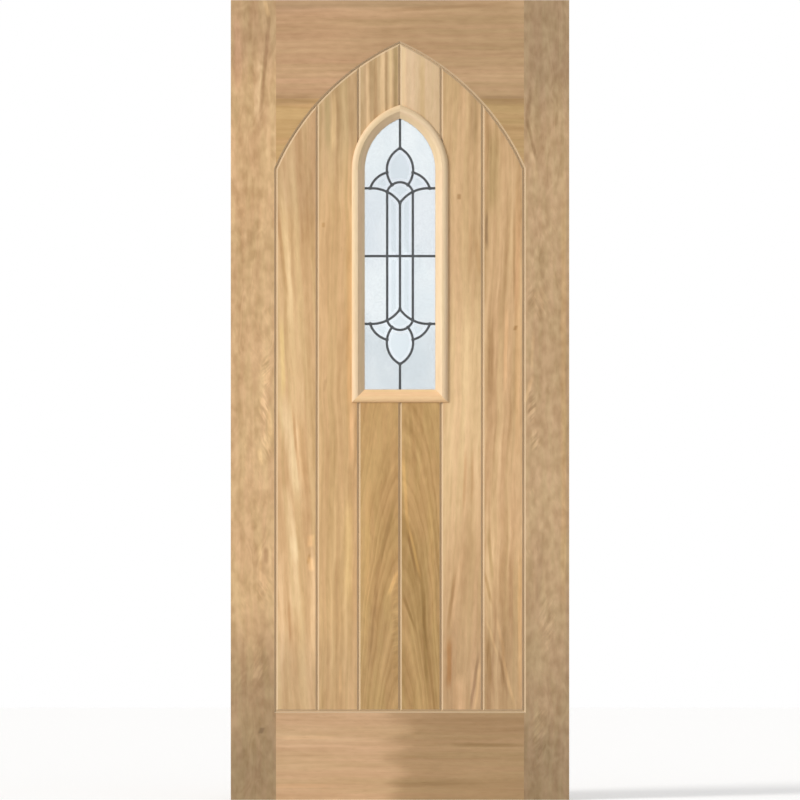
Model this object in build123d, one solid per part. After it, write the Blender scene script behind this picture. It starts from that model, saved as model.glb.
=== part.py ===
from build123d import *
import math
import os

# Arched door leaf of solid oak with a leaded lancet light. Millimetres.
# Origin: middle of the leaf's bottom edge. X to the right seen from the front, Y to the back, Z up.

# Leaf
leaf_width = 838.0
leaf_height = 1981.0
leaf_thickness = 44.0
stile_width = 112.0
bottom_rail_height = 220.0

# Pointed arch over the boards
crown_depth = 106.8  # wood left above the arch's apex
arch_rise = 310.4
arch_bulge = 40.5  # how far each side of the arch stands out from its straight chord
head_joint_share = 0.558  # height of the joint below the head's ends, as a share of the arch's rise

# Boards
board_count = 6
vee_depth = 4.5  # bevel on each side of every vee joint
tongue_thickness = 12.0
tongue_depth = 10.0
tongue_end_play = 1.0
tongue_side_play = 0.2
arch_fit = 0.3  # board ends stay this far below the arch

# Dowels and splines of the frame
rail_dowel_diameter = 16.0
rail_dowel_length = 120.0
rail_dowels_per_joint = 3
spandrel_dowel_diameter = 12.0
spandrel_dowel_length = 50.0
spandrel_dowel_drop = 38.0  # from the head joint to each dowel below it
spandrel_dowels_per_joint = 2
dowel_play = 0.1
dowel_end_play = 2.0
spline_thickness = 8.0
spline_height = 20.0
spline_margin = 8.0

# Lancet light, measured on the glass that shows
light_inset = 14.8  # its edge, inside the board joint beside it
light_spring_drop = 3.8  # its arch springs this far below the foot of the large arch
light_straight = 543.5
light_rise_share = 1.458  # rise of its arch, as a share of its half width

# Glazing mouldings, as distances outward from the glass that shows
bead_width = 32.0
bead_proud = 9.0
bead_crest_inner = 17.0
bead_crest_outer = 21.0
bead_edge_height = 2.0  # its outer edge, above the boards
bead_sight_drop = 2.0  # its inner edge, below the boards' face
opening_margin = 19.0
bead_leg_play = 0.5

# Flat wire pins that hold the back mouldings
pin_width = 1.6  # along the moulding
pin_thickness = 1.4
pin_length = 28.0
side_pin_count = 4
arch_pin_count = 2
sill_pin_count = 2
pin_play = 0.05

# Sealed glass unit
unit_margin = 15.0
pane_thickness = 4.0
tape_thickness = 1.5
tape_width = 11.0
spacer_height = 4.5
spacer_width = 7.0
sealant_width = 4.0
block_length = 60.0
block_spacing = 96.0

# Lead cames
came_width = 6.0
came_flange = 1.0
came_height = 7.0
came_heart = 1.2
border_width = 9.5
glass_edge_play = 0.4
glass_face_play = 0.2
glass_cut = 0.01  # width of the cut that parts two pieces
solder_diameter = 9.0
solder_height = 0.4

# Pattern of the cames, measured from its middle, the same above and below
pattern_drop = 5.0  # its middle, below the middle of the glass
strip_spacing = 31.8
strip_height = 159.2
vee_point_height = 131.7
fan_height = 183.0
fan_shoulder = 19.7
bud_half_width = 32.2
bud_shoulder_height = 207.0
bud_height = 267.4
wing_height = 168.0
wing_edge_gap = 13.7
wing_bulge = 7.5

# Glass pieces
textured_thickness = 4.0
bevel_glass_edge = 2.6
bevel_glass_thickness = 5.5
bevel_width = 10.0

# Derived sizes
face_y = leaf_thickness / 2
field_half_width = leaf_width / 2 - stile_width
board_width = 2 * field_half_width / board_count
groove_depth = tongue_depth + tongue_end_play
groove_half = tongue_thickness / 2 + tongue_side_play
arch_apex_height = leaf_height - crown_depth
arch_foot_height = arch_apex_height - arch_rise
head_joint_height = arch_foot_height + head_joint_share * arch_rise
arch_chord = math.hypot(field_half_width, arch_rise)
arch_radius = (arch_chord**2 / 4 + arch_bulge**2) / (2 * arch_bulge)
arch_reach = (arch_radius - arch_bulge) / arch_chord
arch_centre_x = field_half_width / 2 - arch_rise * arch_reach
arch_centre_z = (arch_foot_height + arch_apex_height) / 2 - field_half_width * arch_reach
light_half_width = board_width - light_inset
light_spring = arch_foot_height - light_spring_drop
light_bottom = light_spring - light_straight
light_rise = light_rise_share * light_half_width
light_radius = (light_half_width**2 + light_rise**2) / (2 * light_half_width)
light_centre_x = light_radius - light_half_width
light_apex = light_spring + light_rise
unit_half_depth = came_height / 2 + spacer_height + pane_thickness
bead_leg_depth = face_y - unit_half_depth - tape_thickness
came_face = came_height / 2
came_seat = came_face - came_flange
border_margin = unit_margin - sealant_width
border_inner_margin = border_margin - border_width
glass_margin = border_margin - came_heart - glass_edge_play
pattern_middle = (light_bottom + light_apex) / 2 - pattern_drop


# Helpers

def slab(outline, y_front, y_back):
    """Plate with an outline drawn in X and Z, between two depths."""
    return extrude(Plane.XZ.offset(-y_back) * outline, amount=y_back - y_front)


def block(x_low, x_high, z_low, z_high):
    """Rectangle given by its edges."""
    middle = Pos((x_low + x_high) / 2, (z_low + z_high) / 2)
    return middle * Rectangle(x_high - x_low, z_high - z_low)


def across(half_depth, outline):
    """Plate that is centred on the leaf's middle plane."""
    return slab(outline, -half_depth, half_depth)


def to_back(shape):
    return mirror(shape, about=Plane.XZ)


def to_left(shape):
    return mirror(shape, about=Plane.YZ)


def save(shape, name):
    export_step(shape, f"parts/{name}.step")


# Board field under the arch

def arch_half_width(z, grow=0.0):
    """Half width of the space under the arch at a height."""
    return math.sqrt((arch_radius + grow) ** 2 - (z - arch_centre_z) ** 2) + arch_centre_x


def under_arch(side_grow=0.0, bottom_grow=0.0, arch_grow=0.0):
    """Outline of the board field, with each of its edges moved outward."""
    radius = arch_radius + arch_grow
    discs = [Pos(side * arch_centre_x, arch_centre_z) * Circle(radius) for side in (-1, 1)]
    waist = radius + arch_centre_x
    bottom = bottom_rail_height - bottom_grow
    shape = (discs[0] & discs[1]) + block(-waist, waist, bottom, arch_centre_z)
    half_width = field_half_width + side_grow
    return shape & block(-half_width, half_width, bottom, leaf_height)


def field_vee():
    """Frustum that bevels the frame's inner edges on the front face."""
    low = Plane.XZ.offset(face_y - vee_depth) * under_arch()
    high = Plane.XZ.offset(face_y) * under_arch(vee_depth, vee_depth, vee_depth)
    return loft([low.face(), high.face()])


# Lancet outlines

def lancet(margin):
    """Outline of the light, moved outward by a margin."""
    half_width = light_half_width + margin
    radius = light_radius + margin
    bottom = light_bottom - margin
    discs = [Pos(side * light_centre_x, light_spring) * Circle(radius) for side in (-1, 1)]
    top = (discs[0] & discs[1]) & block(-half_width, half_width, light_spring, light_spring + radius)
    return top + block(-half_width, half_width, bottom, light_spring)


def opening_top(x):
    """Height of the opening's arched top at a distance from the middle."""
    reach = abs(x) + light_centre_x
    return light_spring + math.sqrt((light_radius + opening_margin) ** 2 - reach**2)


def lancet_ring(outer_margin, inner_margin):
    return lancet(outer_margin) - lancet(inner_margin)


# Frame

def spread(low, high, count):
    """Middles of equal steps from low to high."""
    return [low + (high - low) * (i + 0.5) / count for i in range(count)]


def cross_dowels(diameter, length, heights):
    """Round dowels along X through both joints of a rail, at these heights."""
    dowels = []
    for side in (-1, 1):
        for z in heights:
            place = Pos(side * field_half_width, 0, z) * Rot(0, 90, 0)
            dowels.append(place * Cylinder(diameter / 2, length))
    return dowels


def joint_dowels(play=0.0, end_play=0.0):
    """Dowels of the head, the spandrels and the bottom rail."""
    rail_size = rail_dowel_diameter + 2 * play, rail_dowel_length + 2 * end_play
    spandrel_size = spandrel_dowel_diameter + 2 * play, spandrel_dowel_length + 2 * end_play
    head_heights = spread(head_joint_height, leaf_height, rail_dowels_per_joint)
    bottom_heights = spread(0, bottom_rail_height, rail_dowels_per_joint)
    spandrel_heights = [
        head_joint_height - spandrel_dowel_drop * (i + 1) for i in range(spandrel_dowels_per_joint)
    ]
    return {
        "head_dowels": cross_dowels(*rail_size, head_heights),
        "spandrel_dowels": cross_dowels(*spandrel_size, spandrel_heights),
        "bottom_rail_dowels": cross_dowels(*rail_size, bottom_heights),
    }


def splines(play=0.0):
    """Flat splines in the joint between the head and the spandrels."""
    foot = head_joint_height - spline_height / 2
    inner = arch_half_width(foot, groove_depth) + spline_margin
    outer = field_half_width - spline_margin
    low = head_joint_height - spline_height / 2 - play
    high = head_joint_height + spline_height / 2 + play
    right = across(spline_thickness / 2 + play, block(inner - play, outer + play, low, high))
    return [right, to_left(right)]


def frame():
    """Stiles, head, spandrels and bottom rail, grooved and bevelled for the boards."""
    half_width = leaf_width / 2
    inner = field_half_width
    field = under_arch()
    blanks = {
        "left_stile": block(-half_width, -inner, 0, leaf_height),
        "right_stile": block(inner, half_width, 0, leaf_height),
        "head_rail": block(-inner, inner, head_joint_height, leaf_height) - field,
        "left_spandrel": block(-inner, 0, arch_foot_height, head_joint_height) - field,
        "right_spandrel": block(0, inner, arch_foot_height, head_joint_height) - field,
        "bottom_rail": block(-inner, inner, 0, bottom_rail_height),
    }
    vee = field_vee()
    groove = across(groove_half, under_arch(groove_depth, groove_depth, groove_depth))
    bores = joint_dowels(dowel_play, dowel_end_play)
    cuts = [vee, to_back(vee), groove] + splines(dowel_play) + sum(bores.values(), [])
    return {name: across(face_y, outline) - cuts for name, outline in blanks.items()}


# Boards

def board(index):
    """One vee-jointed board before the light is cut: a tongue on the right, a groove on the left."""
    left = -field_half_width + index * board_width
    right = left + board_width
    first = index == 0
    outline = under_arch(arch_grow=-arch_fit) & block(left, right, 0, leaf_height)
    body = across(face_y, outline)
    face_edges = [edge for edge in body.edges() if abs(abs(edge.center().Y) - face_y) < arch_fit]
    body = chamfer(face_edges, vee_depth)
    tongue_left = left - tongue_depth if first else left
    tongue_right = right + tongue_depth
    tongues = under_arch(tongue_depth, tongue_depth, tongue_depth)
    tongues &= block(tongue_left, tongue_right, 0, leaf_height)
    if abs(right) < light_half_width + opening_margin:
        tongues -= block(right, tongue_right, light_bottom - opening_margin, opening_top(right))
    body += across(tongue_thickness / 2, tongues)
    if not first:
        body -= across(groove_half, block(left, left + groove_depth, 0, leaf_height))
    return body


def boards():
    """All boards, those that the light cuts in two as a lower and an upper length."""
    opening = across(face_y, lancet(opening_margin))
    made = {}
    for index in range(board_count):
        lengths = (board(index) - opening - bead_pins(pin_play)).solids().sort_by(Axis.Z)
        ends = ["_lower", "_upper"] if len(lengths) == 2 else [""]
        for length, end in zip(lengths, ends):
            made[f"board_{index + 1}{end}"] = length
    return made


# Glazing mouldings

def bead_profile():
    """Section of a moulding: X outward from the glass, Y out of the boards' face."""
    leg = opening_margin - bead_leg_play
    sight = (0, -bead_sight_drop)
    crest_in = (bead_crest_inner, bead_proud)
    crest_out = (bead_crest_outer, bead_proud)
    edge = (bead_width, bead_edge_height)
    lines = Polyline((bead_width, bead_edge_height), (bead_width, 0), (leg, 0), (leg, -bead_leg_depth),
                     (0, -bead_leg_depth), sight)
    lines += Polyline(sight, crest_in, crest_out)
    lines += TangentArc(crest_out, edge, tangent=(1, 0))
    return make_face(lines)


def bead_plane(x, z, outward, run):
    """Plane of a section: outward from the glass, facing along the run."""
    return Plane(origin=(x, -face_y, z), x_dir=outward, z_dir=run)


def side_bead():
    """Right upright moulding, mitred at its foot."""
    section = bead_plane(light_half_width, light_spring, (1, 0, 0), (0, 0, -1)) * bead_profile()
    length = light_spring - light_bottom + bead_width
    blank = extrude(section, amount=length)
    corner = light_half_width + bead_width
    keep = make_face(Polyline(
        (light_half_width, light_bottom), (corner, light_bottom - bead_width),
        (corner, light_spring), (light_half_width, light_spring), close=True))
    return blank & across(leaf_thickness, keep)


def sill_bead():
    """Bottom moulding, mitred at both ends."""
    corner = light_half_width + bead_width
    foot = light_bottom - bead_width
    section = bead_plane(-corner, light_bottom, (0, 0, -1), (-1, 0, 0)) * bead_profile()
    blank = extrude(section, amount=-2 * corner)
    keep = make_face(Polyline(
        (-light_half_width, light_bottom), (light_half_width, light_bottom),
        (corner, foot), (-corner, foot), close=True))
    return blank & across(leaf_thickness, keep)


def arch_bead():
    """Right curved moulding, mitred where it meets its neighbour at the apex."""
    section = bead_plane(light_half_width, light_spring, (1, 0, 0), (0, 0, -1)) * bead_profile()
    axis = Axis((-light_centre_x, 0, light_spring), (0, -1, 0))
    sweep = math.degrees(math.acos(light_centre_x / (light_radius + bead_width)))
    blank = revolve(section, axis, revolution_arc=sweep)
    reach = light_radius + bead_width
    return blank & across(leaf_thickness, block(0, reach, light_spring, light_spring + reach))


def beads():
    """Mouldings round the light on both faces."""
    side = side_bead()
    arch = arch_bead()
    front = {
        "bead_bottom": sill_bead(),
        "bead_left": to_left(side),
        "bead_right": side,
        "bead_arch_left": to_left(arch),
        "bead_arch_right": arch,
    }
    made = {f"front_{name}": shape for name, shape in front.items()}
    for name, shape in front.items():
        made[f"back_{name}"] = to_back(shape) - bead_pins(pin_play)
    return made


def bead_pins(play=0.0):
    """Pins punched through the lips of the back mouldings into the boards."""
    line = (opening_margin + bead_width) / 2
    side_x = light_half_width + line
    radius = light_radius + line
    places = [Pos(x, light_bottom - line) * Rot(0, 0, 90) for x in spread(-side_x, side_x, sill_pin_count)]
    heights = spread(light_bottom, light_spring, side_pin_count)
    angles = spread(0, math.degrees(math.acos(light_centre_x / radius)), arch_pin_count)
    for side in (-1, 1):
        places += [Pos(side * side_x, z) for z in heights]
        for angle in angles:
            turn = Rot(0, 0, side * angle)
            places.append(Pos(-side * light_centre_x, light_spring) * turn * Pos(side * radius, 0))
    head = face_y + bead_edge_height
    section = Rectangle(pin_thickness + 2 * play, pin_width + 2 * play)
    return [slab(place * section, head - pin_length, head) for place in places]


# Sealed unit

def setting_blocks():
    """Two blocks that carry the unit on the foot of the opening."""
    low = light_bottom - opening_margin
    high = light_bottom - unit_margin
    made = []
    for side in (-1, 1):
        middle = side * block_spacing / 2
        outline = block(middle - block_length / 2, middle + block_length / 2, low, high)
        made.append(across(unit_half_depth, outline))
    return made


def sealed_unit():
    """Panes, spacers, sealant, tapes and blocks round the leaded panel."""
    pane_y = unit_half_depth - pane_thickness
    pane = slab(lancet(unit_margin), -unit_half_depth, -pane_y)
    spacer = slab(lancet_ring(border_margin, border_margin - spacer_width), -pane_y, -came_face)
    tape_ring = lancet_ring(unit_margin, unit_margin - tape_width)
    tape = slab(tape_ring, -unit_half_depth - tape_thickness, -unit_half_depth)
    return {
        "outer_pane": pane,
        "inner_pane": to_back(pane),
        "spacer_bar_front": spacer,
        "spacer_bar_back": to_back(spacer),
        "edge_sealant": across(pane_y, lancet_ring(unit_margin, border_margin)),
        "glazing_tape_front": tape,
        "glazing_tape_back": to_back(tape),
        "setting_blocks": Compound(children=setting_blocks()),
    }


# Leaded panel

def pattern_points():
    """Meeting points of the cames in the upper right quarter, from the pattern's middle."""
    fan_radius = (strip_spacing**2 + (fan_height - strip_height) ** 2) / (2 * (fan_height - strip_height))
    fan_centre = fan_height - fan_radius
    shoulder_z = fan_centre + math.sqrt(fan_radius**2 - fan_shoulder**2)
    return {
        "vee": (0, vee_point_height),
        "node": (strip_spacing, strip_height),
        "fan_shoulder": (fan_shoulder, shoulder_z),
        "fan_top": (0, fan_height),
        "bud_shoulder": (bud_half_width, bud_shoulder_height),
        "bud_apex": (0, bud_height),
        "wing_corner": (light_half_width - wing_edge_gap, wing_height),
    }


def mirrored(point, right, up):
    return (right * point[0], pattern_middle + up * point[1])


def quarter_lines(right, up):
    """Cames of one quarter of the pattern, inside the fan, bud and wing."""
    at = {name: mirrored(point, right, up) for name, point in pattern_points().items()}
    edge = mirrored((light_half_width + border_margin, wing_height), right, up)
    turn = right * up
    return [
        ThreePointArc(at["vee"], at["node"], at["wing_corner"]),
        ThreePointArc(at["fan_shoulder"], at["bud_shoulder"], at["bud_apex"]),
        SagittaArc(at["bud_shoulder"], at["wing_corner"], turn * wing_bulge),
        Line(at["wing_corner"], edge),
    ]


def pattern_lines():
    """Middle lines of all cames."""
    edge = light_half_width + border_margin
    lines = [Line((-edge, pattern_middle), (edge, pattern_middle))]
    for right in (-1, 1):
        ends = [mirrored((strip_spacing, strip_height), right, up) for up in (-1, 1)]
        lines.append(Line(*ends))
    lines.append(Line(*[mirrored((0, vee_point_height), 1, up) for up in (-1, 1)]))
    for up, end in ((-1, light_bottom - border_margin), (1, light_apex + 2 * border_margin)):
        nodes = [mirrored((side * strip_spacing, strip_height), 1, up) for side in (-1, 1)]
        lines.append(ThreePointArc(nodes[0], mirrored((0, fan_height), 1, up), nodes[1]))
        lines.append(Line(mirrored((0, bud_height), 1, up), (0, end)))
        for right in (-1, 1):
            lines += quarter_lines(right, up)
    return lines


def solder_points():
    """Places where cames meet."""
    points = [(x, pattern_middle) for x in (-strip_spacing, 0, strip_spacing)]
    for up in (-1, 1):
        for name, point in pattern_points().items():
            if name == "fan_top":
                continue
            sides = (1,) if point[0] == 0 else (-1, 1)
            points += [mirrored(point, right, up) for right in sides]
    return points


def traced(lines, width):
    """Flat band of one width along each line."""
    return Sketch() + [trace(line, width) for line in lines]


def dabs(diameter):
    """Round spots where cames meet."""
    return [Pos(*point) * Circle(diameter / 2) for point in solder_points()]


def came_lattice(lines):
    """Soldered net of cames with an H section, inside the border came."""
    flange = traced(lines, came_width) + dabs(solder_diameter)
    heart = traced(lines, came_heart) + dabs(came_heart)
    front = slab(flange & lancet(border_inner_margin), -came_face, -came_seat)
    solder = slab(Sketch() + dabs(solder_diameter), -came_face - solder_height, -came_face)
    net = across(came_seat, heart & lancet(border_margin - came_heart))
    return net + [front, to_back(front), solder, to_back(solder)]


def border_came():
    """U section round the panel's edge."""
    face = slab(lancet_ring(border_margin, border_inner_margin), -came_face, -came_seat)
    heart = across(came_seat, lancet_ring(border_margin, border_margin - came_heart))
    return heart + face + to_back(face)


def bevelled_piece(cell):
    """Clear piece with a wide ground bevel on its front edges."""
    back = came_seat - glass_face_play
    plate = slab(cell, back - bevel_glass_thickness, back)
    front = plate.faces().sort_by(Axis.Y)[0]
    return chamfer(front.edges(), bevel_width, bevel_glass_thickness - bevel_glass_edge, reference=front)


def textured_piece(cell):
    return across(textured_thickness / 2, cell)


def piece_seeds():
    """A place inside each kind of piece, in the upper right quarter, and how it is made."""
    outer = (strip_spacing + light_half_width) / 2
    wing_x = (strip_spacing + bud_half_width + light_half_width - wing_edge_gap) / 3
    wing_z = (strip_height + bud_shoulder_height + wing_height) / 3
    return {
        "strip": ((strip_spacing / 2, vee_point_height / 2), bevelled_piece),
        "fan": ((0, (vee_point_height + fan_height) / 2), bevelled_piece),
        "bud": ((0, (fan_height + bud_height) / 2), bevelled_piece),
        "wing": ((wing_x, wing_z), bevelled_piece),
        "side_glass": ((outer, strip_height / 2), textured_piece),
        "end_glass": ((strip_spacing, bud_height), textured_piece),
    }


def glass_cells(lines):
    """Outlines of all glass pieces: the panel cut along the lines, each set back from the hearts."""
    setback = came_heart / 2 + glass_edge_play
    panel = lancet(glass_margin + setback) - traced(lines, glass_cut)
    return [offset(cell, glass_cut / 2 - setback, kind=Kind.INTERSECTION).face() for cell in panel.faces()]


def glass_pieces(lines):
    """Pieces of the leaded panel, named by their place seen from the front."""
    cells = glass_cells(lines)
    made = {}
    for kind, (seed, make) in piece_seeds().items():
        sides = {"left": -1, "right": 1} if seed[0] else {"": 1}
        for level, up in (("upper", 1), ("lower", -1)):
            for side, right in sides.items():
                place = Vector(*mirrored(seed, right, up))
                cell = next(cell for cell in cells if cell.is_inside(place))
                made["_".join(filter(None, (kind, level, side)))] = make(cell)
    return made


def leaf():
    """Every node of the door by name."""
    lines = pattern_lines()
    made = frame()
    made.update(boards())
    made.update({name: Compound(children=dowels) for name, dowels in joint_dowels().items()})
    made["spandrel_splines"] = Compound(children=splines())
    made.update(beads())
    made["bead_pins"] = Compound(children=bead_pins())
    made.update(sealed_unit())
    made["border_came"] = border_came()
    made["came_lattice"] = came_lattice(lines)
    made.update(glass_pieces(lines))
    return made


os.makedirs("parts", exist_ok=True)
for name, shape in leaf().items():
    save(shape, name)
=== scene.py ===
import bpy
import math
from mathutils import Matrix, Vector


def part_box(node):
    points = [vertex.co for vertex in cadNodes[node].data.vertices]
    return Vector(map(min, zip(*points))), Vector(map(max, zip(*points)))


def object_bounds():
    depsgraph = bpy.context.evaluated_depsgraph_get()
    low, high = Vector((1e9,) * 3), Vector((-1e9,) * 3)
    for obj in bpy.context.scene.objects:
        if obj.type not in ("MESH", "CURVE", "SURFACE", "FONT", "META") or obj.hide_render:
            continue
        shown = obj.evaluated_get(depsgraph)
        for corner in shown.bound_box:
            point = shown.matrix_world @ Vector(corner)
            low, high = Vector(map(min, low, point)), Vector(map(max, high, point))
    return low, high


# Oak door leaf with a pointed arch of boards and a leaded lancet light

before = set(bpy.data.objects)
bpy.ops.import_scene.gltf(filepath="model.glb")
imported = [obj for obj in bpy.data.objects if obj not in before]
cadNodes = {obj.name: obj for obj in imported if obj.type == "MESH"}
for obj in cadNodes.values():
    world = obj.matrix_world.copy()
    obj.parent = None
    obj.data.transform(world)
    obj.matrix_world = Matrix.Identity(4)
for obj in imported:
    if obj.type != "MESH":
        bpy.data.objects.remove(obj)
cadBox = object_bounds()
mm = 0.001
print("frame loaded with", len(cadNodes), "nodes")


# Node helpers

def tint(red, green, blue):
    # Colour steps of 0 to 255 as linear light
    def linear(step):
        value = step / 255
        return value / 12.92 if value <= 0.04045 else ((value + 0.055) / 1.055) ** 2.4
    return (linear(red), linear(green), linear(blue), 1.0)


def put(tree, kind, inputs=None, **settings):
    # Adds a shader node; an input is either a plain value or another node's output
    node = tree.nodes.new("ShaderNode" + kind)
    for name, value in settings.items():
        setattr(node, name, value)
    for key, value in (inputs or {}).items():
        if isinstance(value, bpy.types.NodeSocket):
            tree.links.new(value, node.inputs[key])
        else:
            node.inputs[key].default_value = value
    return node


def calc(tree, operation, first, second=0.0, third=0.0):
    return put(tree, "Math", {0: first, 1: second, 2: third}, operation=operation).outputs[0]


def vector(tree, operation, first, second):
    return put(tree, "VectorMath", {0: first, 1: second}, operation=operation).outputs[0]


def split(tree, value):
    return put(tree, "SeparateXYZ", {0: value}).outputs


def join(tree, alongX, alongY, alongZ):
    return put(tree, "CombineXYZ", {0: alongX, 1: alongY, 2: alongZ}).outputs[0]


def noise(tree, spot, stretch, detail=2.0, rough=0.5):
    # Noise that repeats about as often per metre, along each axis, as stretch says
    scaled = vector(tree, "MULTIPLY", spot, stretch)
    inputs = {"Vector": scaled, "Scale": 1.0, "Detail": detail, "Roughness": rough}
    return put(tree, "TexNoise", inputs).outputs[0]


def lineNoise(tree, value, scale, detail=1.0):
    inputs = {"W": value, "Scale": scale, "Detail": detail}
    return put(tree, "TexNoise", inputs, noise_dimensions="1D").outputs[0]


def remap(tree, value, low, high, toLow=0.0, toHigh=1.0, smooth=True):
    inputs = {"Value": value, "From Min": low, "From Max": high, "To Min": toLow, "To Max": toHigh}
    curve = "SMOOTHSTEP" if smooth else "LINEAR"
    return put(tree, "MapRange", inputs, interpolation_type=curve).outputs[0]


def centred(tree, value):
    # Noise spread out to about -0.5 to 0.5
    return remap(tree, value, 0.28, 0.72, -0.5, 0.5, smooth=False)


def mix(tree, amount, first, second, mode="MIX"):
    # Inputs 6 and 7 and output 2 are the node's colours
    node = put(tree, "Mix", {0: amount, 6: first, 7: second}, data_type="RGBA", blend_type=mode)
    return node.outputs[2]


def newGroup(name, inputs, outputs):
    # An input's default gives its kind: None is a vector, a tuple is a colour, and a number is a value
    tree = bpy.data.node_groups.new(name, "ShaderNodeTree")
    for label, value in inputs.items():
        kind = "Vector" if value is None else "Color" if isinstance(value, tuple) else "Float"
        socket = tree.interface.new_socket(label, in_out="INPUT", socket_type="NodeSocket" + kind)
        if value is not None:
            socket.default_value = value
    for label, kind in outputs.items():
        tree.interface.new_socket(label, in_out="OUTPUT", socket_type="NodeSocket" + kind)
    return tree, tree.nodes.new("NodeGroupInput").outputs, tree.nodes.new("NodeGroupOutput").inputs


def place(group, tree, values):
    return put(tree, "Group", values, node_tree=group).outputs


def newMaterial(name):
    material = bpy.data.materials.new(name)
    material.use_nodes = True
    tree = material.node_tree
    return material, tree, tree.nodes["Principled BSDF"]


def setPlain(shader, values):
    for key, value in values.items():
        shader.inputs[key].default_value = value


def dress(nodeName, material):
    for slot in cadNodes[nodeName].material_slots:
        slot.material = material


# Shared effects

oakFigure = {
    # Repeats per metre across, through and along the grain
    "driftStretch": (4, 4, 1.3),
    "waverStretch": (9, 9, 7),
    "rippleStretch": (70, 70, 9),
    "fineStretch": (300, 300, 12),
    "cloudStretch": (7, 7, 2),
    "curlPatchStretch": (9, 9, 3.5),
    "rayStretch": (150, 40, 42),
    "rayPatchStretch": (14, 14, 4),
    "poreStretch": (900, 900, 40),
    # Rings per metre of radius, and curls per step of their own noise
    "bandScale": 30,
    "lineScale": 200,
    "curlScale": 16,
    # Proportions
    "fleckSize": 0.7,  # repeats of the noise in the width that is asked for
    "streakAspect": 24,
    "curlAspect": 0.28,
    "hueScale": 55,
    # Strengths
    "rippleDepth": 1.4 * mm,
    "lineShare": 0.6,
    "cloudShare": 0.3,
    "poreShare": 0.3,
    "fineRelief": 0.3,
    "roughness": 0.52,
    "fineRoughness": 0.08,
    "poreRoughness": 0.15,
    # Tones that multiply the colour
    "greener": (0.975, 1.012, 0.955, 1),
    "pinker": (1.03, 0.975, 1.0, 1),
    "ray": (1.2, 1.2, 1.2, 1),
    "pore": (0.66, 0.6, 0.52, 1),
}


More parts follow.
